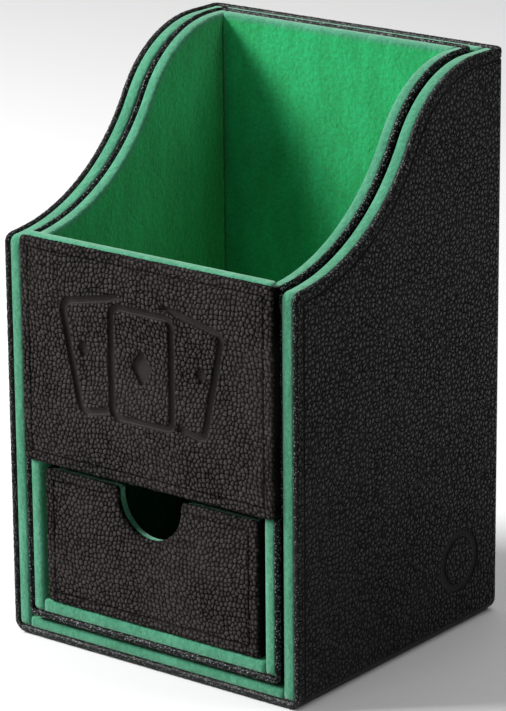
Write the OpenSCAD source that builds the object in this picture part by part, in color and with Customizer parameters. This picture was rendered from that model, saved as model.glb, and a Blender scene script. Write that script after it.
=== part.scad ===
// Card deck box: an outer shell with swept side walls, an inner neck box that
// stands a little proud of it, a card compartment above and a pull-out drawer
// below. Greyboard walls, leather outside, suede on every edge and inside.
// +X is to the right, -Y is the front, +Z is up. The origin is the middle of
// the footprint, on the surface the box stands on.

/* [Shell] */
// Outside width of the shell
shell_w = 87; // [82:0.5:96]
// Outside depth of the shell, behind the front panel
shell_d = 82.5; // [81:0.5:92]
// Height of the shell at its back
shell_h = 142.5; // [138:0.5:143]
// Height of the shell's side walls at the front
front_h = 101; // [100.5:0.5:104]
// Rounding of the shell's upright back corners
edge_r = 2; // [1.8:0.1:3]
// Rounding of the shell's long bottom edges
base_r = 3; // [2:0.1:3.5]
// Rounding where the front edge meets the side curve
shoulder_r = 2.5; // [2:0.1:4]

/* [Side curve] */
// Radius of the crowned bend at the top of the side curve
crown_r = 31; // [28:0.5:33]
// Length of the straight run between the hollow bend and the crown
curve_run = 1; // [1:0.5:3]
// Steepest slope of the side curve, in degrees
curve_slope = 59.5; // [59:0.5:61]

/* [Wall layers] */
// Thickness of the shell's wall boards
board_t = 2.3; // [2:0.1:2.6]
// Thickness of the shell's floor board
floor_board_t = 2; // [1.6:0.1:2.6]
// Thickness of the neck's wall boards
neck_board_t = 1.8; // [1.5:0.1:2.2]
// Thickness of the neck's floor board
neck_floor_board_t = 2.5; // [2:0.1:3]
// Thickness of the leather where it folds over an edge
leather_t = 1.7; // [1.4:0.1:1.8]
// Thickness of the suede
suede_t = 0.7; // [0.5:0.1:1]
// How far the suede edges lie below the leather rims
edge_step = 0.4; // [0.3:0.1:0.6]

/* [Neck] */
// Gap between the shell and the neck box inside it
slot_t = 0.7; // [0.4:0.1:1]
// Thickness of the card that spaces the neck off the shell's floor
spacer_t = 0.9; // [0.5:0.1:1.2]
// How far the top of the neck stands above the shell
neck_lift = 0.4; // [0.3:0.1:1.2]
// How far the neck's side curve stands in front of the shell's, behind it if negative
neck_reach = -0.1; // [-0.4:0.1:0.5]
// How far the neck's front frame stands in front of the shell
frame_proud = 0.5; // [0.3:0.1:1]

/* [Front panel] */
// How far the top of the front panel stands above the shell's front edge
panel_lift = 1.4; // [1:0.1:2]
// How far the front panel stands in front of the shell
panel_proud = 1.2; // [1:0.1:2]
// Margin between the front panel and the neck's outer face, each side
panel_margin = 0.5; // [0.3:0.1:1.2]
// Thickness of the front panel's board
panel_board_t = 2; // [1.8:0.1:2.4]
// Thickness of the front panel's leather
panel_leather_t = 1.1; // [0.9:0.1:1.3]
// Rounding of the front panel's corners
panel_r = 1.5; // [0.5:0.1:2.5]

/* [Shelf and bay] */
// Height of the drawer bay
bay_h = 35.9; // [30:0.1:40]
// Thickness of the board between the drawer bay and the card compartment
shelf_board_t = 2.5; // [2:0.1:3]

/* [Drawer] */
// Gap between the drawer and each side wall of its bay
drawer_side_gap = 1.8; // [0.6:0.1:2]
// Gap between the drawer and the floor of its bay
drawer_floor_gap = 0.4; // [0.3:0.05:0.6]
// Gap above the drawer
drawer_top_gap = 1.8; // [1:0.1:3]
// Gap behind the drawer
drawer_back_gap = 0.7; // [0.5:0.1:3]
// How far the drawer's front stands in front of the shell
drawer_proud = 0.2; // [0:0.1:1]
// Thickness of the drawer's boards
drawer_board_t = 2; // [1.5:0.1:2.4]
// Thickness of the leather on the drawer's front
drawer_leather_t = 1; // [0.8:0.1:1.2]
// Thickness of the wrap on the drawer's sides, back and underside
drawer_wrap_t = 0.5; // [0.4:0.1:0.8]
// Width of the finger notch
notch_w = 19; // [16:0.5:24]
// Depth of the finger notch
notch_h = 11.5; // [10:0.5:15]

/* [Magnets] */
// Diameter of a lid magnet
magnet_d = 8; // [5:0.5:10]
// Thickness of a lid magnet
magnet_t = 1.4; // [1:0.1:1.5]
// Distance of each lid magnet from the middle
magnet_x = 24; // [12:1:28]
// Height of the lid magnets below the top of the front panel
magnet_drop = 10; // [8:1:20]

/* [Ring mark] */
// Outside diameter of the pressed ring on the right side
ring_d = 15.5; // [10:0.5:20]
// Width of the pressed ring
ring_w = 1.4; // [0.8:0.1:2]
// Depth of the pressed ring
ring_depth = 0.4; // [0.2:0.1:0.6]
// Distance of the ring's middle from the back
ring_back = 17; // [14:0.5:30]
// Height of the ring's middle
ring_z = 17.5; // [14:0.5:40]

/* [Hidden] */
$fn = 64;
eps = 0.01;
BLACK = [0.16, 0.15, 0.15];
GREEN = [0.32, 0.62, 0.45];
BOARD = [0.62, 0.58, 0.52];
STEEL = [0.75, 0.76, 0.78];

// the design is drawn with its front at y = 0 and moved to its place at the end
front_y = (panel_proud - shell_d) / 2;
edge_in = edge_step + suede_t;          // depth of a board below its leather rim
wall_t = leather_t + board_t + suede_t; // leather, board and suede

// shell planes
sx = shell_w / 2;
sx_board = sx - leather_t;
sx_suede = sx_board - board_t;
sx_in = sx - wall_t;
shell_floor = leather_t + floor_board_t + suede_t;

// neck planes
nx = sx_in - slot_t;
nx_board = nx - leather_t;
nx_suede = nx_board - neck_board_t;
nx_in = nx_suede - suede_t;
neck_back = shell_d - wall_t - slot_t;
nb_board = neck_back - leather_t;
nb_suede = nb_board - neck_board_t;
nb_in = nb_suede - suede_t;
nz = shell_floor + spacer_t;
nz_board = nz + leather_t;
nz_suede = nz_board + neck_floor_board_t;
bay_z = nz_suede + suede_t;
neck_top = shell_h + neck_lift;

// front panel and shelf planes
panel_z = bay_z + bay_h;
panel_top = front_h + panel_lift;
panel_x = nx - panel_margin;
panel_board_y = panel_leather_t - panel_proud;
panel_back_y = panel_board_y + panel_board_t;
panel_in_y = panel_back_y + suede_t;
shelf_top_board = panel_z + shelf_board_t;
shelf_z = shelf_top_board + suede_t;

// drawer planes
dx = nx_in - drawer_side_gap;
dx_board = dx - drawer_wrap_t;
dx_suede = dx_board - drawer_board_t;
dx_in = dx_suede - suede_t;
dz = bay_z + drawer_floor_gap;
dz_board = dz + drawer_wrap_t;
dz_suede = dz_board + drawer_board_t;
dz_in = dz_suede + suede_t;
d_top = panel_z - drawer_top_gap;
d_edge = d_top - 0.4;
d_board_top = d_edge - suede_t;
dy_board = drawer_leather_t - drawer_proud;
dy_suede = dy_board + drawer_board_t;
dy_in = dy_suede + suede_t;
d_back = nb_in - drawer_back_gap;
db_board = d_back - drawer_wrap_t;
db_suede = db_board - drawer_board_t;
db_in = db_suede - suede_t;
notch_r = notch_w / 2;

// side curve: a hollow bend, a straight run and a crowned bend, all tangent
hollow_r = (shell_h - front_h - curve_run * sin(curve_slope)) / (1 - cos(curve_slope)) - crown_r;
crown_y = (hollow_r + crown_r) * sin(curve_slope) + curve_run * cos(curve_slope);

// height of the hollow bend at y, inset by e
function hollow_z(y, e, fwd, up) =
  front_h + up + hollow_r - sqrt(pow(hollow_r + e, 2) - pow(y + fwd, 2));

// points of the side curve from y on, inset by e, moved fwd forward and up
function side_curve(y, e, fwd, up) = let(a0 = asin((y + fwd) / (hollow_r + e))) concat(
  [for (i = [0 : 20]) let(a = a0 + (curve_slope - a0) * i / 20)
    [-fwd + (hollow_r + e) * sin(a), front_h + up + hollow_r - (hollow_r + e) * cos(a)]],
  [for (i = [0 : 14]) let(a = curve_slope * (1 - i / 14))
    [crown_y - fwd - (crown_r - e) * sin(a), shell_h + up - crown_r + (crown_r - e) * cos(a)]]);

// side view of a shell wall: front at e, rounded shoulder, curve, back at y_back
function shell_side(e, z_low, y_back) = let(r = shoulder_r - e, zc = hollow_z(e + r, e, 0, 0)) concat(
  [[y_back, z_low], [e, z_low]],
  [for (i = [0 : 5]) [e + r - r * cos(i * 18), zc - r + r * sin(i * 18)]],
  side_curve(e + r + 0.2, e, 0, 0),
  [[y_back, shell_h - e]]);

// side view of a neck wall: it steps back behind the front panel
function neck_side(e, z_low, y_back) = concat(
  [[y_back, z_low], [e - frame_proud, z_low], [e - frame_proud, panel_z], [panel_back_y, panel_z]],
  side_curve(panel_back_y, e, neck_reach, neck_lift),
  [[y_back, neck_top - e]]);

module place() translate([0, front_y, 0]) children();
module block(x0, x1, y0, y1, z0, z1) translate([x0, y0, z0]) cube([x1 - x0, y1 - y0, z1 - z0]);
module slab(x0, x1, pts) translate([x0, 0, 0]) rotate([90, 0, 90]) linear_extrude(height = x1 - x0) polygon(pts);
module left() mirror([1, 0, 0]) children();
module rounded(x0, x1, y0, y1, r) {
  translate([x0 + r, y0]) square([x1 - x0 - 2 * r, y1 - y0]);
  translate([x0, y0 + r]) square([x1 - x0, y1 - y0 - 2 * r]);
  for (x = [x0 + r, x1 - r], y = [y0 + r, y1 - r]) translate([x, y]) circle(r = r);
}
// front-view shape, extruded from y0 to y1
module front_plate(y0, y1) translate([0, y1, 0]) rotate([90, 0, 0]) linear_extrude(height = y1 - y0) children();

// outer form of the leather: upright back corners and long bottom edges rounded
module outer_form() intersection() {
  linear_extrude(height = shell_h + 1) union() {
    rounded(-sx, sx, 0, shell_d, edge_r);
    translate([-sx, 0]) square([shell_w, shell_d / 2]);
  }
  front_plate(-1, shell_d + 1) rounded(-sx, sx, 0, shell_h + 20, base_r);
}

// ---- shell ----
module shell_wall() slab(sx_suede, sx_board, shell_side(edge_in, leather_t + floor_board_t, shell_d - leather_t));
module shell_right_board() color(BOARD) place() shell_wall();
module shell_left_board() color(BOARD) place() left() shell_wall();
module shell_back_board() color(BOARD) place()
  block(-sx_suede, sx_suede, shell_d - leather_t - board_t, shell_d - leather_t, leather_t + floor_board_t, shell_h - edge_in);
module shell_bottom_board() color(BOARD) place()
  block(-sx_board, sx_board, edge_in, shell_d - leather_t, leather_t, leather_t + floor_board_t);

module ring_groove() translate([sx, shell_d - ring_back, ring_z]) rotate([0, 90, 0])
  rotate_extrude() translate([ring_d / 2 - ring_w, -ring_depth]) square([ring_w, ring_depth + 1]);
module shell_leather_wrap() color(BLACK) place() difference() {
  intersection() {
    outer_form();
    slab(-sx, sx, shell_side(0, leather_t, shell_d));
  }
  block(-sx_board, sx_board, -1, shell_d - leather_t, -1, shell_h + 1);
  ring_groove();
}
module shell_bottom_leather() color(BLACK) place() intersection() {
  outer_form();
  block(-sx, sx, 0, shell_d, 0, leather_t);
}
// lining plate inside the board, with the band that covers the board's edge
module shell_side_suede() {
  slab(sx_in, sx_suede, shell_side(edge_in, leather_t + floor_board_t, shell_d - leather_t - board_t));
  difference() {
    slab(sx_in, sx_board, shell_side(edge_step, leather_t, shell_d - leather_t));
    slab(sx_in - 1, sx_board + 1, shell_side(edge_in, leather_t - 1, shell_d));
  }
}
module shell_right_suede() color(GREEN) place() shell_side_suede();
module shell_left_suede() color(GREEN) place() left() shell_side_suede();
module shell_back_suede() color(GREEN) place() {
  block(-sx_in, sx_in, shell_d - wall_t, shell_d - leather_t - board_t, shell_floor, shell_h - edge_in);
  block(-sx_in, sx_in, shell_d - wall_t, shell_d - leather_t, shell_h - edge_in, shell_h - edge_step);
}
module shell_floor_suede() color(GREEN) place() {
  block(-sx_in, sx_in, edge_step, shell_d - leather_t - board_t, leather_t + floor_board_t, shell_floor);
  block(-sx_in, sx_in, edge_step, edge_in, leather_t, leather_t + floor_board_t);
}

// ---- neck ----
module neck_wall() slab(nx_suede, nx_board, neck_side(edge_in, nz_suede, nb_board));
module neck_right_board() color(BOARD) place() neck_wall();
module neck_left_board() color(BOARD) place() left() neck_wall();
module neck_back_board() color(BOARD) place()
  block(-nx_suede, nx_suede, nb_suede, nb_board, nz_suede, neck_top - edge_in);
module neck_bottom_board() color(BOARD) place()
  block(-nx_board, nx_board, edge_in - frame_proud, nb_board, nz_board, nz_suede);
module neck_leather_wrap() color(BLACK) place() difference() {
  slab(-nx, nx, neck_side(0, nz_board, neck_back));
  block(-nx_board, nx_board, -5, nb_board, -1, neck_top + 1);
}
module neck_bottom_leather() color(BLACK) place()
  block(-nx, nx, -frame_proud, neck_back, nz, nz_board);
module neck_spacer_card() color(BOARD) place()
  block(-nx + 10, nx - 10, 10, neck_back - 10, shell_floor, nz);
module neck_side_suede() {
  slab(nx_in, nx_suede, neck_side(edge_in, nz_suede, nb_suede));
  difference() {
    slab(nx_in, nx_board, neck_side(edge_step, nz_board, nb_board));
    slab(nx_in - 1, nx_board + 1, neck_side(edge_in, nz_board - 1, neck_back));
  }
}
module neck_right_suede() color(GREEN) place() neck_side_suede();
module neck_left_suede() color(GREEN) place() left() neck_side_suede();
module neck_back_suede() color(GREEN) place() {
  block(-nx_in, nx_in, nb_in, nb_suede, bay_z, neck_top - edge_in);
  block(-nx_in, nx_in, nb_in, nb_board, neck_top - edge_in, neck_top - edge_step);
}
module bay_floor_suede() color(GREEN) place() {
  block(-nx_in, nx_in, edge_step - frame_proud, nb_suede, nz_suede, bay_z);
  block(-nx_in, nx_in, edge_step - frame_proud, edge_in - frame_proud, nz_board, nz_suede);
}

// ---- shelf between the bay and the card compartment ----
module shelf_board() color(BOARD) place()
  block(-nx_in, nx_in, panel_back_y, nb_in, panel_z, shelf_top_board);
module shelf_suede() color(GREEN) place()
  block(-nx_in, nx_in, panel_in_y, nb_in, shelf_top_board, shelf_z);

// ---- front panel ----
module at_magnets() for (s = [-1, 1])
  translate([s * magnet_x, panel_back_y, panel_top - magnet_drop]) rotate([90, 0, 0]) children();
module front_panel_board() color(BOARD) place() difference() {
  block(-panel_x + panel_leather_t, panel_x - panel_leather_t, panel_board_y, panel_back_y,
        panel_z + panel_leather_t, panel_top - edge_in);
  at_magnets() translate([0, 0, -1]) cylinder(d = magnet_d + 0.2, h = magnet_t + 1);
}
module front_panel_leather() color(BLACK) place() difference() {
  front_plate(-panel_proud, panel_back_y) rounded(-panel_x, panel_x, panel_z, panel_top, panel_r);
  block(-panel_x + panel_leather_t, panel_x - panel_leather_t, panel_board_y, panel_back_y + 1,
        panel_z + panel_leather_t, panel_top + 1);
}
module front_panel_suede() color(GREEN) place() {
  block(-nx_in, nx_in, panel_back_y, panel_in_y, shelf_top_board, panel_top - edge_in);
  block(-panel_x + panel_leather_t, panel_x - panel_leather_t, panel_board_y, panel_back_y,
        panel_top - edge_in, panel_top - edge_step);
  block(-nx_in, nx_in, panel_back_y, panel_in_y, panel_top - edge_in, panel_top - edge_step);
}
module lid_magnets() color(STEEL) place() at_magnets() cylinder(d = magnet_d, h = magnet_t);

// ---- drawer ----
// finger notch, widened by g all round
module notch(g) front_plate(-5, 10) {
  translate([0, d_top - notch_h + notch_r]) circle(r = notch_r + g);
  translate([-notch_r - g, d_top - notch_h + notch_r]) square([notch_w + 2 * g, notch_h]);
}
module drawer_front_board() color(BOARD) place() difference() {
  block(-dx_board, dx_board, dy_board, dy_suede, dz_board, d_board_top);
  notch(suede_t);
}
module drawer_side() block(dx_suede, dx_board, dy_suede, db_board, dz_suede, d_board_top);
module drawer_right_board() color(BOARD) place() drawer_side();
module drawer_left_board() color(BOARD) place() left() drawer_side();
module drawer_back_board() color(BOARD) place()
  block(-dx_suede, dx_suede, db_suede, db_board, dz_suede, d_board_top);
module drawer_bottom_board() color(BOARD) place()
  block(-dx_board, dx_board, dy_suede, db_board, dz_board, dz_suede);
module drawer_front_leather() color(BLACK) place() difference() {
  block(-dx, dx, -drawer_proud, dy_board, dz, d_top);
  notch(0);
}
module drawer_wrap() color(BLACK) place() difference() {
  block(-dx, dx, dy_board, d_back, dz, d_top);
  block(-dx_board, dx_board, dy_board - 1, db_board, dz_board, d_top + 1);
}
module drawer_front_suede() color(GREEN) place() difference() {
  union() {
    block(-dx_suede, dx_suede, dy_suede, dy_in, dz_suede, d_board_top);
    block(-dx_board, dx_board, dy_board, dy_in, d_board_top, d_edge);
    intersection() {
      notch(suede_t);
      block(-dx_board, dx_board, dy_board, dy_in, dz_board, d_edge);
    }
  }
  notch(0);
}
module drawer_side_suede() {
  block(dx_in, dx_suede, dy_in, db_suede, dz_suede, d_board_top);
  block(dx_in, dx_board, dy_in, db_board, d_board_top, d_edge);
}
module drawer_right_suede() color(GREEN) place() drawer_side_suede();
module drawer_left_suede() color(GREEN) place() left() drawer_side_suede();
module drawer_back_suede() color(GREEN) place() {
  block(-dx_in, dx_in, db_in, db_suede, dz_in, d_board_top);
  block(-dx_in, dx_in, db_in, db_board, d_board_top, d_edge);
}
module drawer_floor_suede() color(GREEN) place()
  block(-dx_in, dx_in, dy_in, db_suede, dz_suede, dz_in);

shell_left_board();
shell_right_board();
shell_back_board();
shell_bottom_board();
shell_leather_wrap();
shell_bottom_leather();
shell_left_suede();
shell_right_suede();
shell_back_suede();
shell_floor_suede();
neck_left_board();
neck_right_board();
neck_back_board();
neck_bottom_board();
neck_leather_wrap();
neck_bottom_leather();
neck_spacer_card();
neck_left_suede();
neck_right_suede();
neck_back_suede();
bay_floor_suede();
shelf_board();
shelf_suede();
front_panel_board();
front_panel_leather();
front_panel_suede();
lid_magnets();
drawer_front_board();
drawer_left_board();
drawer_right_board();
drawer_back_board();
drawer_bottom_board();
drawer_front_leather();
drawer_wrap();
drawer_front_suede();
drawer_left_suede();
drawer_right_suede();
drawer_back_suede();
drawer_floor_suede();
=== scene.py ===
import bpy, bmesh, math
import numpy as np
from mathutils import Vector, Matrix
from mathutils.geometry import delaunay_2d_cdt


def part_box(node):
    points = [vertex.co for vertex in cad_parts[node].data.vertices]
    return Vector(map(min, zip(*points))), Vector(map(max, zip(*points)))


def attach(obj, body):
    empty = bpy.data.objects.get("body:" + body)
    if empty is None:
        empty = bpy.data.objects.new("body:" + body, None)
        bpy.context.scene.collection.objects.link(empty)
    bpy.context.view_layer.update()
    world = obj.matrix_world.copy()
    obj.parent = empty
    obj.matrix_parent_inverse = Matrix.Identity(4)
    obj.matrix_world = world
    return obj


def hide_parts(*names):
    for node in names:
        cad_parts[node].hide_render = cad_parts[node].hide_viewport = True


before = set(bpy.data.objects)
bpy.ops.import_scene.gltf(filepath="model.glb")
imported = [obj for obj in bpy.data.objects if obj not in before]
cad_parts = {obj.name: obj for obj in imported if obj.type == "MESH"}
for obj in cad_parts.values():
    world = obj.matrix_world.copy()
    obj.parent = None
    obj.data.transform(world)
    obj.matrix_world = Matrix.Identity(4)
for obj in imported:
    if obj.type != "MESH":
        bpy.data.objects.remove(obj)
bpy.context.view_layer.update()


# ---------------------------------------------------------------- planes, in mm
# Local coordinates: x to the right, y from the shell's front plane backwards, z up.
def span(node):
    lo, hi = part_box(node)
    return np.array(lo) * 1000, np.array(hi) * 1000


w_lo, w_hi = span("shell_leather_wrap")
FY = w_lo[1]                                   # row y of the shell's front plane


def nbox(node):
    lo, hi = span(node)
    lo[1] -= FY
    hi[1] -= FY
    return lo, hi


SX, SD, SH = w_hi[0], w_hi[1] - FY, w_hi[2]    # shell half width, depth, height
SXB = nbox("shell_right_board")[1][0]          # outer face of the shell's wall board
SXI = nbox("shell_right_suede")[0][0]          # inner face of the shell's lining
SFI = nbox("shell_floor_suede")[1][2]          # top of the shell's floor lining
LT = SX - SXB                                  # leather thickness at a fold
n_lo, n_hi = nbox("neck_leather_wrap")
NX, NB, NH, NFY = n_hi[0], n_hi[1], n_hi[2], n_lo[1]
NXI = nbox("neck_right_suede")[0][0]
NBI = nbox("neck_back_suede")[0][1]
NZ = nbox("neck_bottom_leather")[0][2]
NZB = nbox("neck_bottom_leather")[1][2]
BAYZ = nbox("bay_floor_suede")[1][2]
SHELFZ = nbox("shelf_suede")[1][2]
p_lo, p_hi = nbox("front_panel_leather")
PX, PY, PZ, PT = p_hi[0], p_lo[1], p_lo[2], p_hi[2]
PBY = nbox("front_panel_board")[1][1]
PIY = nbox("front_panel_suede")[1][1]
PSY = nbox("front_panel_board")[0][1]
d_lo, d_hi = nbox("drawer_front_leather")
DX, DY, DZ, DT = d_hi[0], d_lo[1], d_lo[2], d_hi[2]
DBY = nbox("drawer_front_board")[0][1]
DIY = nbox("drawer_front_suede")[1][1]
DXI = nbox("drawer_right_suede")[0][0]
DXB = nbox("drawer_right_board")[1][0]
DBK = nbox("drawer_back_suede")[0][1]
DBB = nbox("drawer_back_board")[1][1]
DZI = nbox("drawer_floor_suede")[1][2]

# the side curve, as the design has it
FRONT_H, SHOULDER, CROWN, RUN, SLOPE = 101.0, 2.5, 31.0, 1.0, math.radians(59.5)
LIFT, REACH = NH - SH, -0.1
HOLLOW = (SH - FRONT_H - RUN * math.sin(SLOPE)) / (1 - math.cos(SLOPE)) - CROWN
CROWN_Y = (HOLLOW + CROWN) * math.sin(SLOPE) + RUN * math.cos(SLOPE)
NOTCH_R, NOTCH_H, NOTCH_C = 9.5, 11.5, 1.3
RING_D, RING_W, RING_BACK, RING_Z = 15.5, 1.7, 17.0, 17.5


def hollow_z(y, e, fwd, up):
    return FRONT_H + up + HOLLOW - math.sqrt((HOLLOW + e) ** 2 - (y + fwd) ** 2)


def side_curve(y0, e, fwd, up, y_end, step):
    """(n,2) points y,z of the side curve inset by e, with a count that doesn't depend on e."""
    a0 = math.asin((y0 + fwd) / (HOLLOW + e))
    n1, n2 = int(HOLLOW * SLOPE / step), int(CROWN * SLOPE / step)
    n3, n4 = max(2, int(RUN / step)), max(3, int((SD - CROWN_Y) / step))
    a = np.linspace(a0, SLOPE, n1)
    b = np.linspace(SLOPE, 0, n2)
    p1 = np.c_[-fwd + (HOLLOW + e) * np.sin(a), FRONT_H + up + HOLLOW - (HOLLOW + e) * np.cos(a)]
    p2 = np.c_[CROWN_Y - fwd - (CROWN - e) * np.sin(b), SH + up - CROWN + (CROWN - e) * np.cos(b)]
    t = np.linspace(0, 1, n3 + 1)[1:-1, None]
    mid = p1[-1] * (1 - t) + p2[0] * t
    t = np.linspace(0, 1, n4)[1:, None]
    end = p2[-1] * (1 - t) + np.array([y_end, SH + up - e]) * t
    return np.r_[p1, mid, p2, end]


def arc(cx, cy, r, a0, a1, n):
    a = np.radians(np.linspace(a0, a1, n))
    return np.c_[cx + r * np.cos(a), cy + r * np.sin(a)]


class Walls:
    """An open box of walls with the side curve: the shell, or the neck inside it."""

    def __init__(s, x, back, up, fwd, z0, r, rb, low, tight, high=None, z_step=None):
        s.x, s.back, s.up, s.fwd, s.z0, s.r, s.rb, s.tight = x, back, up, fwd, z0, r, rb, tight
        s.seam = LT * tight                   # the fold is thinner on the upright edges
        s.low, s.high, s.z_step, s.h = low, high, z_step, SH + up

    def front(s, d, z_low, step):
        """the upright front edge from z_low up to where the side curve starts"""
        if s.high is None:
            r = max(SHOULDER - d, 0.25)
            zc = hollow_z(d + r, d, s.fwd, s.up)
            n = int((FRONT_H - z_low) / step)
            z = np.linspace(z_low, zc - r, n)
            return np.r_[np.c_[np.full(n, s.low + d), z], arc(d + r, zc - r, r, 180, 90, 9)[1:-1]], d + r
        n = int((s.z_step - z_low) / step)
        y1 = s.high + 0.25 * d
        z1 = hollow_z(y1, d, s.fwd, s.up)
        m = int((FRONT_H - s.z_step) / step)
        return np.r_[np.c_[np.full(n, s.low + d), np.linspace(z_low, s.z_step - 0.06, n)],
                     np.c_[np.full(m, y1), np.linspace(s.z_step + 0.02, z1 - 0.05, m)]], y1

    def side(s, d, z_low, y_end, step):
        f, y0 = s.front(d, z_low, step)
        return np.r_[f, side_curve(y0 + 0.02, d, s.fwd, s.up, y_end, step)]

    def loop(s, u, d, step, nc=7):
        """closed loop round the walls' edges: u across from the outer face, d in from the edge"""
        n = max(2, int(2 * (s.x - s.r) / step))
        xs = np.linspace(s.x - s.r, -(s.x - s.r), n + 1)[:-1]
        yf = s.low + d
        bottom = np.c_[xs, np.full(n, yf), np.full(n, s.z0 + u)]
        a = np.radians(np.linspace(270, 180, nc)[:-1])
        t = s.tight + (1 - s.tight) * (270 - np.degrees(a)) / 90 * -1 + (1 - s.tight)
        rr = s.r - u * t
        lc = np.c_[-(s.x - s.r) + rr * np.cos(a), np.full(len(a), yf), s.z0 + s.r + rr * np.sin(a)]
        u = u * s.tight
        yz = s.side(d, s.z0 + s.r, s.back - s.rb, step)
        left = np.c_[np.full(len(yz), -(s.x - u)), yz]
        b = arc(-(s.x - s.rb), s.back - s.rb, s.rb - u, 180, 90, nc)[1:-1]
        lb = np.c_[b, np.full(len(b), s.h - d)]
        nb = max(2, int(2 * (s.x - s.rb) / step))
        xb = np.linspace(-(s.x - s.rb), s.x - s.rb, nb)
        back = np.c_[xb, np.full(nb, s.back - u), np.full(nb, s.h - d)]
        m = np.array([-1, 1, 1])
        rb, right, rc = (lb * m)[::-1], (left * m)[::-1], (lc * m)[::-1]
        s.n_bottom, s.n_c, s.n_side, s.n_bc, s.n_back = n, len(lc), len(left), len(lb), nb
        return np.r_[bottom, lc, left, lb, back, rb, right, rc[:-1]]


SHELL = Walls(SX, SD, 0.0, 0.0, 0.0, 3.0, 2.0, 0.0, 0.85)
NECK = Walls(NX, NB, LIFT, REACH, NZ, 1.85, 1.85, NFY, 0.7, PBY, PZ)


# ---------------------------------------------------------------- mesh building
class Sheet:
    def __init__(s):
        s.v, s.f, s.w, s.n = [], [], [], 0

    def add(s, pts, w=0.0):
        s.v.append(np.asarray(pts, float))
        s.w.append(np.zeros(len(pts)) + w)
        k = s.n
        s.n += len(pts)
        return k

    def rows(s, rows, closed=False, depth=None):
        """quads between rows of points; depth is each row's distance below the edge, in mm"""
        m = len(rows[0])
        # rows near the edge get a weight that the suede material paints paler, as painted light
        w = [0.0] * len(rows) if depth is None else [min(1, max(0, 1 - (d - 1.0) / 1.1)) for d in depth]
        starts = [s.add(r, k) for r, k in zip(rows, w)]
        i = np.arange(m if closed else m - 1)
        j = (i + 1) % m
        for a, b in zip(starts, starts[1:]):
            s.f.append(np.c_[a + i, a + j, b + j, b + i])

    def tris(s, pts, tris):
        k = s.add(pts)
        s.f.append(np.asarray(tris) + k)

    def points(s):
        return np.concatenate(s.v)


def in_poly(p, poly):
    x, y = p[:, 0], p[:, 1]
    inside = np.zeros(len(p), bool)
    x0, y0 = poly[:, 0], poly[:, 1]
    x1, y1 = np.roll(x0, -1), np.roll(y0, -1)
    for a, b, c, d in zip(x0, y0, x1, y1):
        if b != d:
            hit = ((b > y) != (d > y)) & (x < (c - a) * (y - b) / (d - b) + a)
            inside ^= hit
    return inside


def poly_dist(p, poly, closed=True):
    q = poly if not closed else np.r_[poly, poly[:1]]
    out = np.full(len(p), 1e9)
    for a, b in zip(q[:-1], q[1:]):
        d = b - a
        L = d @ d
        if L < 1e-12:
            continue
        t = np.clip(((p - a) @ d) / L, 0, 1)
        out = np.minimum(out, np.hypot(*(p - a - t[:, None] * d).T))
    return out


def fill(outer, holes=(), spacing=3.0, extra=()):
    """triangles that fill a flat outline, with evenly spread points inside"""
    outer = np.asarray(outer, float)
    keep = [outer[0]]
    for p in outer[1:]:
        if np.hypot(*(p - keep[-1])) > 1e-3:
            keep.append(p)
    outer = np.array(keep)
    if np.hypot(*(outer[0] - outer[-1])) < 1e-3:
        outer = outer[:-1]
    lo, hi = outer.min(0), outer.max(0)
    gx = np.arange(lo[0] + spacing / 2, hi[0], spacing)
    gy = np.arange(lo[1] + spacing / 2, hi[1], spacing * 0.87)
    g = np.array(np.meshgrid(gx, gy, indexing="ij"))
    g[0] += (np.arange(len(gy)) % 2) * spacing / 2
    g = g.reshape(2, -1).T
    if len(extra):
        g = np.r_[g, np.asarray(extra, float)]
    near = max(len(outer), 1)
    ok = in_poly(g, outer)
    g = g[ok]
    g = g[poly_dist(g, outer if near < 900 else outer[::4]) > spacing * 0.45]
    for h in holes:
        g = g[~in_poly(g, h)]
        g = g[poly_dist(g, h) > spacing * 0.4]
    loops, k, edges = [outer, *holes], 0, []
    for L in loops:
        edges += [(k + i, k + (i + 1) % len(L)) for i in range(len(L))]
        k += len(L)
    allp = np.r_[tuple(loops) + (g,)]
    res = delaunay_2d_cdt([Vector(map(float, p)) for p in allp], edges, [], 0, 1e-5)
    verts = np.array([tuple(v) for v in res[0]])
    tris = np.array(res[2])
    cen = verts[tris].mean(1)
    ok = in_poly(cen, outer)
    for h in holes:
        ok &= ~in_poly(cen, h)
    return verts, tris[ok]


def to_row(p):
    q = np.array(p, float)
    q[:, 1] += FY
    return q / 1000


MATS = {}
MADE = {}


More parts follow.
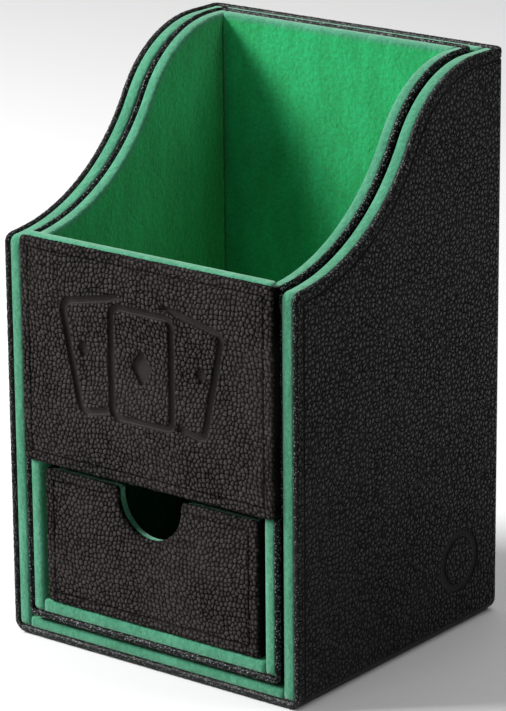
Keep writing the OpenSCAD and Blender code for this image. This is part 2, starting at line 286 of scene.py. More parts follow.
def build(sheet, name, body, mat, replaces=(), ref=None, outward=True, merge=0.004, solid=0.0, attrs=None):
    """one object from a sheet; ref and outward say which way its faces look"""
    me = bpy.data.meshes.new(name)
    pts = sheet.points()
    faces = []
    for f in sheet.f:
        faces += f.tolist()
    me.from_pydata(to_row(pts).tolist(), [], faces)
    attrs = dict(attrs or {})
    # the edge weights mark where the suede is painted paler, as light on the crowned edges
    if mat == "suede":
        attrs["edge"] = np.concatenate(sheet.w)
    if attrs:
        for k, val in attrs.items():
            a = me.attributes.new(k, "FLOAT", "POINT")
            a.data.foreach_set("value", np.asarray(val, np.float32))
    bm = bmesh.new()
    bm.from_mesh(me)
    if merge:
        bmesh.ops.remove_doubles(bm, verts=bm.verts, dist=merge / 1000)
    bmesh.ops.dissolve_degenerate(bm, edges=bm.edges, dist=1e-7)
    loose = [v for v in bm.verts if not v.link_faces]
    if loose:
        bmesh.ops.delete(bm, geom=loose, context="VERTS")
    if ref is not None:
        bmesh.ops.recalc_face_normals(bm, faces=bm.faces)
        r = Vector(to_row([ref])[0])
        total = sum(f.normal.dot(f.calc_center_median() - r) * f.calc_area() for f in bm.faces)
        if (total > 0) != outward:
            bmesh.ops.reverse_faces(bm, faces=bm.faces)
    for f in bm.faces:
        f.smooth = True
    bm.to_mesh(me)
    bm.free()
    me.update()
    o = bpy.data.objects.new(name, me)
    bpy.context.scene.collection.objects.link(o)
    me.materials.append(MATS[mat])
    if solid:
        m = o.modifiers.new("thickness", "SOLIDIFY")
        m.thickness = solid / 1000
        m.offset = -1
        m.use_even_offset = False
    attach(o, body)
    if replaces:
        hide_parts(*replaces)
    MADE[name] = o
    return o


# ---------------------------------------------------------------- materials
def new_mat(name):
    m = bpy.data.materials.new(name)
    m.use_nodes = True
    nt = m.node_tree
    nt.nodes.clear()
    out = nt.nodes.new("ShaderNodeOutputMaterial")
    bs = nt.nodes.new("ShaderNodeBsdfPrincipled")
    nt.links.new(bs.outputs[0], out.inputs[0])
    return m, nt, bs


class N:
    """short helpers for a node tree"""

    def __init__(s, nt):
        s.nt = nt

    def link(s, a, b):
        s.nt.links.new(a, b)

    def node(s, kind, **kw):
        n = s.nt.nodes.new(kind)
        for k, v in kw.items():
            setattr(n, k, v)
        return n

    def put(s, socket, v):
        if isinstance(v, bpy.types.NodeSocket):
            s.link(v, socket)
        else:
            socket.default_value = v

    def coords(s):
        return s.node("ShaderNodeTexCoord").outputs["Object"]

    def math(s, op, a, b=0.0, c=None, clamp=False):
        n = s.node("ShaderNodeMath", operation=op, use_clamp=clamp)
        s.put(n.inputs[0], a)
        s.put(n.inputs[1], b)
        if c is not None:
            s.put(n.inputs[2], c)
        return n.outputs[0]

    def vmath(s, op, a, b):
        n = s.node("ShaderNodeVectorMath", operation=op)
        s.put(n.inputs[0], a)
        if op == "SCALE":
            s.put(n.inputs["Scale"], b)
        else:
            s.put(n.inputs[1], b)
        return n.outputs[0]

    def noise(s, vec, scale, detail=2.0, rough=0.5, out="Fac"):
        n = s.node("ShaderNodeTexNoise")
        s.put(n.inputs["Vector"], vec)
        n.inputs["Scale"].default_value = scale
        n.inputs["Detail"].default_value = detail
        n.inputs["Roughness"].default_value = rough
        return n.outputs[out]

    def voronoi(s, vec, scale, feature="F1", rand=1.0, smooth=None, out="Distance"):
        n = s.node("ShaderNodeTexVoronoi", feature=feature)
        s.put(n.inputs["Vector"], vec)
        n.inputs["Scale"].default_value = scale
        n.inputs["Randomness"].default_value = rand
        if smooth is not None:
            n.inputs["Smoothness"].default_value = smooth
        return n.outputs[out]

    def ramp(s, v, a, b, to0=0.0, to1=1.0, smooth=True):
        n = s.node("ShaderNodeMapRange", interpolation_type="SMOOTHSTEP" if smooth else "LINEAR")
        s.put(n.inputs["Value"], v)
        for k, x in (("From Min", a), ("From Max", b), ("To Min", to0), ("To Max", to1)):
            n.inputs[k].default_value = x
        return n.outputs["Result"]

    def mix(s, f, a, b):
        n = s.node("ShaderNodeMix", data_type="RGBA")
        s.put(n.inputs[0], f)
        for i, v in ((6, a), (7, b)):
            s.put(n.inputs[i], v if isinstance(v, bpy.types.NodeSocket) else (*v, 1))
        return n.outputs[2]

    def bump(s, height, dist_mm, strength=1.0, normal=None):
        n = s.node("ShaderNodeBump")
        n.inputs["Strength"].default_value = strength
        n.inputs["Distance"].default_value = dist_mm / 1000
        s.put(n.inputs["Height"], height)
        if normal is not None:
            s.put(n.inputs["Normal"], normal)
        return n.outputs[0]

    def attr(s, name):
        n = s.node("ShaderNodeAttribute")
        n.attribute_name = name
        return n.outputs["Fac"]


def leather(name, hill, valley_shade, cell, depth, rough=0.42, spec=0.5, flat=None, geometry=False, fine=0.02, bead=None):
    """pebbled leather: domed pebbles of about cell mm between narrow valleys, with shade painted into the valleys"""
    m, nt, bs = new_mat(name)
    k = N(nt)
    co = k.coords()
    # with real pebbles the shader still paints shade: a dark colour in the valleys, the leather's own colour on the
    # tops
    if geometry:        # the pebbles are real; the shader darkens the valleys and adds the fine skin
        h = k.attr("pebble")
        fl = k.attr("flat")
    else:
        wob = k.vmath("SCALE", k.vmath("SUBTRACT", k.noise(co, 420, 2.0, out="Color"), (0.5, 0.5, 0.5)), 0.0011)
        vec = k.vmath("ADD", co, wob)
        f1 = k.voronoi(vec, 1000 / cell, "F1", 0.86)
        ed = k.voronoi(vec, 1000 / cell, "DISTANCE_TO_EDGE", 0.86)
        dome = k.ramp(f1, 0.0, 0.8, 1.0, 0.35)
        h = k.math("MULTIPLY", k.ramp(ed, 0.0, 0.2), dome)
        fl = k.attr("flat") if flat else 0.0
        if flat:
            h = k.math("MULTIPLY", h, k.math("SUBTRACT", 1.0, fl))
    skin = k.noise(co, 2600, 3.0, 0.6)
    broad = k.noise(co, 60, 3.0, 0.55)
    # painted shade: the colour runs from the near-black valley shade in the gaps to the hill colour on the pebble tops
    height_shade = k.ramp(h, 0.46, 0.98) if geometry else k.ramp(h, 0.18, 0.82)
    if flat or geometry:
        height_shade = k.math("MAXIMUM", height_shade, k.math("MULTIPLY", fl, 0.5 if geometry else 0.3))
    col = k.mix(height_shade, valley_shade, hill)
    # painted highlight: light specks of the bead colour on the fold's beads, where the bead attribute is set
    if bead:
        glint_speck = k.math("SUBTRACT", 1.0, k.ramp(k.voronoi(co, 1000 / 0.62, "F1", 0.9), 0.1, 0.42))
        col = k.mix(k.math("MULTIPLY", glint_speck, k.attr("bead")), col, bead)
    lighter = tuple(min(1, c * 1.5 + 0.002) for c in hill)
    col = k.mix(k.math("MULTIPLY", k.ramp(broad, 0.35, 0.75), 0.2), col, lighter)
    k.link(col, bs.inputs["Base Color"])
    r = k.math("ADD", k.ramp(skin, 0.2, 0.8, rough - 0.06, rough + 0.08, False), k.math("MULTIPLY", k.math("SUBTRACT", 1.0, height_shade), 0.25))
    k.link(r, bs.inputs["Roughness"])
    bs.inputs["Specular IOR Level"].default_value = spec
    b1 = k.bump(skin, fine, 1.0)
    if not geometry:
        b1 = k.bump(h, depth, 1.0, b1)
    k.link(b1, bs.inputs["Normal"])
    return m


def suede(name, base, deep, lit_edge_base, lit_edge_deep, sheen=0.5, tint=(0.8, 1.0, 0.88), nap=0.1):
    """napped suede; the edge attribute blends to a paler copy of the colour, painted light on the crowned edges that
    face the lamps
    """
    m, nt, bs = new_mat(name)
    k = N(nt)
    co = k.coords()
    e = k.attr("edge")
    fine = k.noise(co, 3200, 3.0, 0.65)
    tuft = k.noise(co, 1150, 3.0, 0.6)
    brush = k.noise(k.vmath("MULTIPLY", co, (1.0, 1.0, 0.4)), 190, 4.0, 0.6)
    broad = k.noise(co, 26, 2.0, 0.5)
    f = k.math("ADD", k.math("MULTIPLY", k.ramp(tuft, 0.34, 0.66), 0.5), k.math("MULTIPLY", k.ramp(brush, 0.38, 0.64), 0.35))
    f = k.math("ADD", f, k.math("MULTIPLY", k.ramp(broad, 0.35, 0.65), 0.15), clamp=True)
    # painted light: the crowned edges get the paler lit colours, the linings keep the suede's own colours
    k.link(k.mix(e, k.mix(f, deep, base), k.mix(f, lit_edge_deep, lit_edge_base)), bs.inputs["Base Color"])
    bs.inputs["Roughness"].default_value = 0.92
    bs.inputs["Specular IOR Level"].default_value = 0.12
    bs.inputs["Sheen Weight"].default_value = sheen
    bs.inputs["Sheen Roughness"].default_value = 0.5
    bs.inputs["Sheen Tint"].default_value = (*tint, 1)
    b = k.bump(tuft, nap, 0.9)
    b = k.bump(fine, nap * 0.5, 0.9, b)
    b = k.bump(brush, nap * 2.2, 0.6, b)
    b = k.bump(k.noise(co, 620, 2.0, 0.5), nap * 2.6, 0.7, b)
    k.link(b, bs.inputs["Normal"])
    return m


def simple(name, a, b, scale, rough, metal=0.0, bump=0.03, spec=0.4):
    m, nt, bs = new_mat(name)
    k = N(nt)
    co = k.coords()
    f = k.noise(co, scale, 4.0, 0.6)
    k.link(k.mix(k.ramp(f, 0.3, 0.7), a, b), bs.inputs["Base Color"])
    k.link(k.ramp(f, 0.2, 0.8, rough - 0.08, rough + 0.08, False), bs.inputs["Roughness"])
    bs.inputs["Metallic"].default_value = metal
    bs.inputs["Specular IOR Level"].default_value = spec
    k.link(k.bump(k.noise(co, scale * 2.3, 3.0), bump, 0.7), bs.inputs["Normal"])
    return m


# the second colour of each leather is the painted shade in the valleys between pebbles
MATS["panel"] = leather("leather_panel_m", (0.036, 0.0309, 0.0291), (0.0002, 0.0002, 0.0002), 1.35, 0.3, 0.36, 0.05, geometry=True)
# the bead colours of the side and rim leathers are painted highlights on the folded edges
MATS["side"] = leather("leather_side_m", (0.024, 0.0242, 0.0236), (0.0002, 0.0002, 0.0002), 1.3, 1.1, 0.26, 0.08, flat=True, bead=(0.15, 0.17, 0.165))
MATS["rim"] = leather("leather_rim_m", (0.0022, 0.0026, 0.0028), (0.0003, 0.0003, 0.0004), 0.9, 0.06, 0.34, 0.12, bead=(0.19, 0.215, 0.21))
MATS["wrap"] = leather("leather_wrap_m", (0.0065, 0.0064, 0.0066), (0.0006, 0.0006, 0.0006), 0.8, 0.08, 0.42, 0.12)
# the third and fourth suede colours are the paler lit copies painted on the crowned edges
MATS["suede"] = suede("suede_m", (0.005, 0.34, 0.108), (0.001, 0.21, 0.050), (0.058, 0.24, 0.143), (0.024, 0.15, 0.080), 0.42, tint=(0.7, 1.0, 0.82), nap=0.16)
MATS["board"] = simple("greyboard_m", (0.30, 0.27, 0.235), (0.42, 0.385, 0.34), 900, 0.85, bump=0.05, spec=0.2)
MATS["magnet"] = simple("magnet_m", (0.55, 0.55, 0.57), (0.72, 0.72, 0.74), 600, 0.25, metal=1.0, bump=0.004)


def pebbles(a, b, cell, seed):
    """height 0..1 of rounded pebbles at points a, b"""
    a, b = a + 0.9 * np.sin(b * 0.19 + seed) + 0.05 * np.sin(b * 2.3 + 1.0), b + 0.9 * np.sin(a * 0.17 + 2 * seed) + 0.05 * np.sin(a * 2.1)
    i, j = np.floor(a / cell).astype(int), np.floor(b / cell).astype(int)

    def rnd(i, j, k):
        n = (i * 73856093) ^ (j * 19349663) ^ ((seed * 7 + k) * 83492791)
        n = (n ^ (n >> 13)) * 1274126177
        return ((n ^ (n >> 16)) & 0xFFFF) / 65535.0

    f1 = np.full(a.shape, 9.0)
    f2 = np.full(a.shape, 9.0)
    size = np.zeros(a.shape)
    for di in (-1, 0, 1):
        for dj in (-1, 0, 1):
            ii, jj = i + di, j + dj
            off = (jj % 2) * 0.5
            px = (ii + 0.5 + off * 0.55 + (rnd(ii, jj, 1) - 0.5) * 0.68) * cell
            pz = (jj + 0.5 + (rnd(ii, jj, 2) - 0.5) * 0.68) * cell
            d = np.hypot(a - px, b - pz) / cell
            new = d < f1
            f2 = np.where(new, f1, np.minimum(f2, d))
            size = np.where(new, rnd(ii, jj, 3), size)
            f1 = np.where(new, d, f1)
    gap = np.clip((f2 - f1) / 0.5, 0, 1)
    gap = np.sqrt(1 - (1 - gap) ** 2)
    dome = np.sqrt(np.clip(1 - (f1 / 0.85) ** 2, 0, 1))
    return gap * (0.5 + 0.5 * dome) * (0.75 + 0.25 * size)


# ---------------------------------------------------------------- leather of the shell and neck
FOLD = LT / 2
fold_rows = [(FOLD - FOLD * math.cos(a), FOLD - FOLD * math.sin(a)) for a in np.linspace(math.pi, 0, 15)]
crease = [(LT, 1.05), (LT, 0.9)]
fold = crease + [(u, d) for u, d in fold_rows]
GROOVE = [(0.0, 1.15), (0.0, 1.6), (0.0, 2.3), (0.03, 2.42), (0.13, 2.54), (0.2, 2.68), (0.2, 2.8), (0.13, 2.94), (0.03, 3.06), (0.0, 3.2)]
IN = 4.6
STEP = 0.3


def leather_box(W, step, holes=None, bead=0.72, slant=0.5, amp=0.24):
    """the whole skin: folded edge, pressed line, flat faces and rounded corners"""
    s = Sheet()
    rows, glint_rows, across, prev = [], [], 0.0, None
    mid = W.loop(FOLD, 0.0, step)
    along = np.r_[0, np.cumsum(np.linalg.norm(np.diff(mid, axis=0), axis=1))]
    for u, d in fold + GROOVE + [(0.0, IN)]:
        p = W.loop(u, d, step)
        if prev is not None:
            across += math.hypot(u - prev[0], d - prev[1])
        prev = (u, d)
        # the beads on the fold are real bumps; the fade stored for each row marks where the shader paints highlight
        # specks on them
        if 0.2 < across < 4.2:
            k = math.hypot(u - FOLD, d - FOLD)
            nu, nd = ((u - FOLD) / k, (d - FOLD) / k) if d <= FOLD else (math.copysign(1, u - FOLD), 0)
            q = W.loop(u + 0.1 * nu, d + 0.1 * nd, step) - p
            q /= np.linalg.norm(q, axis=1, keepdims=True)
            h = pebbles(along * 1.0 + across * slant, np.full(len(along), across * 0.75), bead, 5)
            fade = min(1, (across - 0.2) / 0.3) * (1 if d < 1 else max(0, 1 - (d - 1) / 0.6))
            p = p + q * ((h - 0.5) * amp * fade)[:, None]
            glint_rows.append(np.full(len(p), fade * 1.0))
        else:
            glint_rows.append(np.zeros(len(p)))
        rows.append(p)
    s.rows(rows, closed=True)
    s.bead = np.concatenate(glint_rows)
    last = rows[-1]
    nb, nc, ns, nbc, nk = W.n_bottom, W.n_c, W.n_side, W.n_bc, W.n_back
    i1 = nb + nc
    left = last[i1:i1 + ns]
    back_top = last[i1 + ns + nbc:i1 + ns + nbc + nk]
    zt, phis = W.h - IN, np.radians(np.linspace(0, 90, nbc + 2))
    nv, K = 30, 26

    def arch(inset, y):
        v = np.linspace(zt, W.z0 + W.r, nv)
        L = np.c_[np.full(nv, -(W.x - inset)), np.full(nv, y), v]
        c = arc(-(W.x - W.r), W.z0 + W.r, W.r - inset, 180, 270, nc + 1)[1:]
        C = np.c_[c[:, 0], np.full(nc, y), c[:, 1]]
        xb = np.linspace(-(W.x - W.r), W.x - W.r, nb + 1)[1:-1]
        B = np.c_[xb, np.full(len(xb), y), np.full(len(xb), W.z0 + inset)]
        m = np.array([-1, 1, 1])
        return np.r_[L, C, B, (C * m)[::-1], (L * m)[::-1]]

    archs = [arch(W.rb * (1 - math.cos(p)), W.back - W.rb + W.rb * math.sin(p)) for p in phis]
    s.rows(archs)
    a0, a1 = archs[0], archs[-1]
    y0, y1 = W.low + IN, W.back - W.rb
    ys = np.linspace(y0, y1, K)
    corner = last[nb:i1 + 1]                      # from the bottom up, left
    for m in (1, -1):
        s.rows([np.c_[corner[:, 0] * m, np.full(len(corner), y), corner[:, 2]] for y in ys])
    base = np.c_[ys, np.full(K, W.z0 + W.r)]
    side = np.r_[left[:, 1:], a0[:nv, 1:][1:], base[::-1][1:-1]]
    for m in (-1, 1):
        hs = (holes or []) if m == 1 else []
        v, t = fill(side, [h for h in hs], 3.2)
        s.tris(np.c_[np.full(len(v), m * W.x), v], t)
    xb = np.linspace(-(W.x - W.r), W.x - W.r, nb + 1)
    bot = np.r_[np.c_[xb, np.full(nb + 1, y0)], np.c_[np.full(K, xb[-1]), ys][1:], np.c_[xb[::-1], np.full(nb + 1, y1)][1:], np.c_[np.full(K, xb[0]), ys[::-1]][1:-1]]
    v, t = fill(bot, [], 4)
    s.tris(np.c_[v, np.full(len(v), W.z0)], t)
    bk = np.r_[a1[:, [0, 2]], back_top[::-1][:, [0, 2]][1:-1]]
    v, t = fill(bk, [], 4)
    s.tris(np.c_[v[:, 0], np.full(len(v), W.back), v[:, 1]], t)
    return s


rc = np.array([SD - RING_BACK, RING_Z])
ring_rows = [(RING_D / 2 + 0.45, 0), (RING_D / 2 + 0.15, 0.03), (RING_D / 2, 0.13), (RING_D / 2 - 0.2, 0.24), (RING_D / 2 - 0.5, 0.3),
             (RING_D / 2 - RING_W + 0.35, 0.3), (RING_D / 2 - RING_W + 0.05, 0.24), (RING_D / 2 - RING_W - 0.15, 0.12), (RING_D / 2 - RING_W - 0.3, 0.03), (RING_D / 2 - RING_W - 0.6, 0)]
circle = lambda r: arc(rc[0], rc[1], r, 0, 360, 73)[:-1]
sh = leather_box(SHELL, STEP, [circle(ring_rows[0][0])])
sh.rows([np.c_[np.full(72, SX - dep), circle(r)] for r, dep in ring_rows], closed=True)
v, t = fill(circle(ring_rows[-1][0]), [], 1.6)
sh.tris(np.c_[np.full(len(v), SX), v], t)
P = sh.points()
dep = np.minimum(np.minimum(SX - np.abs(P[:, 0]), P[:, 2]), SD - P[:, 1])
flat = np.clip((dep - 0.02) / 0.14, 0, 1)
# the bead attribute marks the fold where highlight specks are painted
build(sh, "shell_leather", "box", "side", ["shell_leather_wrap", "shell_bottom_leather"], ref=(0, 40, 60), attrs={"flat": flat, "bead": np.r_[sh.bead, np.zeros(len(P) - len(sh.bead))]}, solid=0.6)

nk = leather_box(NECK, STEP)
build(nk, "neck_leather", "box", "rim", ["neck_leather_wrap", "neck_bottom_leather"], ref=(0, 40, 60), solid=0.3,
      attrs={"bead": np.r_[nk.bead, np.zeros(nk.n - len(nk.bead))]})


# ---------------------------------------------------------------- suede of the walls
def band(width, crown=0.36, edge=0.95):
    """(across, depth) of a crowned suede edge of that width, then round onto the lining"""
    w = width
    return [(0.02, 1.02), (0.06, 0.78), (0.22, 0.58), (0.5, 0.46), (0.5 * w, crown), (w - 0.75, 0.45), (w - 0.4, 0.58), (w - 0.14, 0.8), (w - 0.02, 1.1), (w, 1.6)]


def side_suede(W, width, name, nodes, m, z_low, y_end, deep, lining=None):
    s = Sheet()
    prof = band(width)
    rows = []
    for a, d in prof + [(width, x) for x in deep]:
        yz = W.side(d, z_low, y_end, 1.0)
        L = np.r_[0, np.cumsum(np.hypot(*np.diff(yz, axis=0).T))]
        e0 = np.clip(1 - L / 0.7, 0, 1) ** 2 * 0.5
        e1 = np.clip(1 - (L[-1] - L) / 0.7, 0, 1) ** 2 * 0.5
        yz = np.c_[yz[:, 0] + e0, yz[:, 1] - e1]
        rows.append(np.c_[np.full(len(yz), m * (W.x - W.seam - a)), yz])
    s.rows(rows, depth=[d for _, d in prof] + list(deep))
    if lining:
        last = rows[-1]
        zb = lining
        n = 40
        back = np.c_[np.full(n, y_end), np.linspace(last[-1, 2], zb, n)][1:]
        base = np.c_[np.linspace(y_end, last[0, 1], n), np.full(n, zb)][1:-1]
        out = np.r_[last[:, 1:], back, base]
        if zb < last[0, 2] - 0.01:
            out = np.r_[out, [[last[0, 1], zb]]]
        ex = [(NBI + o, z) for o in (-1.6, -0.9, -0.45, -0.2, 0.0, 0.2) for z in np.arange(zb + 2, last[-1, 2] - 1, 1.6)]
        ex += [(y, SHELFZ + o) for o in (0.05, 0.3, 0.8) for y in np.arange(4, NBI, 1.6)]
        v, t = fill(out, [], 2.6, ex)
        x = np.full(len(v), W.x - W.seam - width)
        dip = 0.42 * np.exp(-((v[:, 0] - NBI) / 0.42) ** 2)
        puff = 0.18 * np.clip((NBI - v[:, 0]) / 8, 0, 1) * np.clip((v[:, 1] - SHELFZ) / 8, 0, 1)
        inner = poly_dist(v, out) < 1e-4
        x = x + np.where(inner, 0, dip)
        s.tris(np.c_[m * x, v], t)
    return build(s, name, "box", "suede", nodes, ref=(0, 40, 60), outward=False, solid=0.35)


for m, sd in ((1, "right"), (-1, "left")):
    side_suede(SHELL, SX - SHELL.seam - SXI, f"shell_{sd}_suede_cover", [f"shell_{sd}_suede"], m, LT + 0.05, SD - SHELL.seam - 0.1, [4, 12])
    side_suede(NECK, NX - NECK.seam - NXI, f"neck_{sd}_suede_cover", [f"neck_{sd}_suede"], m, NZB + 0.05, NB - NECK.seam - 0.1, [2.4], lining=BAYZ - 0.2)


def strip(prof, x0, x1, frame_pts, deep, ends=0.5, step=1.2, shrink=None):
    """a crowned suede edge along x, and its lining: frame_pts(across, depth) gives y and z"""
    s = Sheet()
    n = int((x1 - x0) / step)
    t = np.r_[0, 0.12, 0.3, 0.55, 0.9]
    x = np.r_[x0 + t, np.linspace(x0 + 1.4, x1 - 1.4, n), (x1 - t)[::-1]]
    e = np.clip(1 - np.minimum(x - x0, x1 - x) / 0.9, 0, 1) ** 2 * ends
    rows = []
    for a, d in prof + deep:
        y, z = [], []
        for ei in e:
            yy, zz = frame_pts(a, d + ei)
            y.append(yy)
            z.append(zz)
        xx = x
        if shrink:
            lim = shrink(a)
            xx = np.clip(x, -lim, lim)
        rows.append(np.c_[xx, y, z])
    s.rows(rows, depth=[d for _, d in prof + deep])
    return s


W3 = SX - SHELL.seam - SXI
s = strip(band(W3), -SXI + 0.03, SXI - 0.03, lambda a, d: (SD - SHELL.seam - a, SH - d), [(W3, 4), (W3, 14)])
build(s, "shell_back_suede_cover", "box", "suede", ["shell_back_suede"], ref=(0, 60, 200), outward=False, solid=0.35)
wf = SFI - LT
s = strip(band(wf), -SXI + 0.03, SXI - 0.03, lambda a, d: (d, LT + a), [(wf, 4), (wf, 14)])
build(s, "shell_floor_suede_cover", "box", "suede", ["shell_floor_suede"], ref=(0, -60, 60), outward=False, solid=0.35)
wn = NB - NECK.seam - NBI


def lining_rows(z_from, z_to, n):
    return np.linspace(z_from, z_to, n)


def back_lining():
    s = Sheet()
    x1 = NXI + 0.25
    t = np.r_[0, 0.1, 0.25, 0.45, 0.7, 1.1, 1.7]
    x = np.r_[-x1 + t, np.linspace(-x1 + 2.6, x1 - 2.6, 44), (x1 - t)[::-1]]
    edge = 0.5 * np.exp(-((x1 - np.abs(x)) / 0.42) ** 2)
    prof = band(wn)
    rows = []
    for a, d in prof + [(wn, 2.4), (wn, 3.6)]:
        sc = 1.0
        rows.append(np.c_[x, NB - NECK.seam - a + edge * min(1, max(0, a - wn + 0.8)), np.full(len(x), NH - d) - (edge > 0.2) * 0.0])
    for z in np.linspace(NH - 5.2, BAYZ, 70):
        rows.append(np.c_[x, np.full(len(x), NBI) + edge, np.full(len(x), z)])
    s.rows(rows, depth=[d for _, d in prof] + [9] * (len(rows) - len(prof)))
    return s


build(back_lining(), "neck_back_suede_cover", "box", "suede", ["neck_back_suede"], ref=(0, 30, 80), outward=False, solid=0.35)

s = strip(band(BAYZ - NZB), -NXI + 0.03, NXI - 0.03, lambda a, d: (NFY + d, NZB + a), [(BAYZ - NZB, 3), (BAYZ - NZB, 12), (BAYZ - NZB, 30), (BAYZ - NZB, 50), (BAYZ - NZB, NBI - NFY - 0.1)])
build(s, "bay_floor_suede_cover", "box", "suede", ["bay_floor_suede"], ref=(0, 30, 60), outward=False, solid=0.35)


def shelf():
    s = Sheet()
    x1, ya, yb = NXI + 0.15, PIY - 0.1, NBI + 0.15
    t = np.r_[0, 0.12, 0.3, 0.55, 0.9, 1.5]
    x = np.r_[-x1 + t, np.linspace(-x1 + 2.5, x1 - 2.5, 34), (x1 - t)[::-1]]
    y = np.r_[ya + t, np.linspace(ya + 2.5, yb - 2.5, 36), (yb - t)[::-1]]
    rows = []
    for yy in y:
        e = np.minimum(np.minimum(x + x1, x1 - x), min(yy - ya, yb - yy))
        rows.append(np.c_[x, np.full(len(x), yy), SHELFZ - 0.45 * np.exp(-(e / 0.45) ** 2)])
    s.rows(rows)
    return s


build(shelf(), "shelf_suede_cover", "box", "suede", ["shelf_suede"], ref=(0, 40, 0), outward=True, solid=0.35)

# front panel: crowned top edge and the lining behind it
py0 = PY + 0.5
wp = PIY - py0
top_band = [(0.0, 0.95), (0.12, 0.55), (0.35, 0.25), (0.8, 0.04), (1.6, -0.06), (wp - 0.8, -0.02), (wp - 0.35, 0.2), (wp - 0.1, 0.5), (wp, 1.0)]
s = strip(top_band, -(PX - 0.75), PX - 0.75, lambda a, d: (py0 + a, PT - d), [(wp, 3.0), (wp, 15), (wp, 35), (wp, PT - SHELFZ)],
          shrink=lambda a: PX - 0.75 if a < PBY - py0 - 0.05 else NXI + 0.25)
build(s, "front_panel_suede_cover", "box", "suede", ["front_panel_suede"], ref=(0, 0, 0), outward=True, solid=0.35)


# ---------------------------------------------------------------- pebbled front plates
def rect_outline(x0, x1, z0, z1, r, step):
    def f(q):
        rr, k = max(r - q, 0.0), max(r, q)
        out = []
        for cx, cz, a0 in ((x1 - k, z0 + k, -90), (x1 - k, z1 - k, 0), (x0 + k, z1 - k, 90), (x0 + k, z0 + k, 180)):
            out.append(arc(cx, cz, rr, a0, a0 + 90, 7))
        nx, nz = int((x1 - x0 - 2 * r) / step), int((z1 - z0 - 2 * r) / step)
        pts = []
        for i, n in enumerate((nz, nx, nz, nx)):
            pts.append(out[i])
            A, B = out[i][-1], out[(i + 1) % 4][0]
            t = np.linspace(0, 1, n + 1)[1:-1, None]
            pts.append(A * (1 - t) + B * t)
        return np.concatenate(pts)
    return f


def notch_outline(x1, z0, z1, r, step):
    """closed outline of the drawer's front with the finger notch in its top edge"""
    zc = z1 - NOTCH_H + NOTCH_R

    def f(q):
        rr, k = max(r - q, 0.0), max(r, q)
        nr = max(NOTCH_C - q, 0.0)
        nk = max(NOTCH_C, q)
        R = NOTCH_R + q
        segs = [arc(x1 - k, z0 + k, rr, -90, 0, 6), arc(x1 - k, z1 - k, rr, 0, 90, 6)]
        low = max(0.0, (zc - (z1 - nk)) / R)
        a0 = math.degrees(math.asin(min(1, low)))
        xk = R * math.cos(math.radians(a0)) if low > 0 else NOTCH_R + nk
        cr = arc(xk, z1 - nk, nr, 90, 180, 7)
        bowl = arc(0, zc, R, -a0, -180 + a0, 151)
        cl = arc(-xk, z1 - nk, nr, 0, 90, 7)
        segs += [cr, bowl, cl, arc(-x1 + k, z1 - k, rr, 90, 180, 6), arc(-x1 + k, z0 + k, rr, 180, 270, 6)]
        counts = [int((z1 - z0) / step), int((x1 - NOTCH_R) / step), 3, 3, int((x1 - NOTCH_R) / step), int((z1 - z0) / step), int(2 * x1 / step)]
        pts = []
        for i, n in enumerate(counts):
            pts.append(segs[i])
            A, B = segs[i][-1], segs[(i + 1) % len(segs)][0]
            t = np.linspace(0, 1, n + 1)[1:-1, None]
            pts.append(A * (1 - t) + B * t)
        return np.concatenate(pts)
    return f


def card_motif(a, b):
    """pressed depth 0..1: a fan of three blank cards with a diamond on the middle one"""
    a, b = a + 0.8, b - 75.5

    def card(cx, cz, ang, w=18.0, h=27.0, r=2.2):
        c, sn = math.cos(math.radians(ang)), math.sin(math.radians(ang))
        x, z = c * (a - cx) + sn * (b - cz), -sn * (a - cx) + c * (b - cz)
        qx, qz = np.abs(x) - w / 2 + r, np.abs(z) - h / 2 + r
        return np.hypot(np.maximum(qx, 0), np.maximum(qz, 0)) + np.minimum(np.maximum(qx, qz), 0) - r

    def line(sd, w=1.5, soft=0.26):
        return np.clip((w / 2 + soft - np.abs(sd)) / soft, 0, 1)

    mid, le, ri = card(0, 0, 0), card(-12.4, 0.9, 12), card(12.4, 0.9, -12)
    clear = np.clip((mid - 1.7) / 0.25, 0, 1)
    press = np.maximum(line(mid), np.maximum(line(le), line(ri)) * clear)
    for cx, cz, k in ((0, 0, 1.0), (-17.6, 1.6, 0.5), (17.6, 1.6, 0.5)):
        pip = (np.abs(a - cx) / (3.0 * k) + np.abs(b - cz) / (4.2 * k) - 1) * 2.4 * k
        press = np.maximum(press, np.clip((0.25 - pip) / 0.28, 0, 1))
    return press * press * (3 - 2 * press)


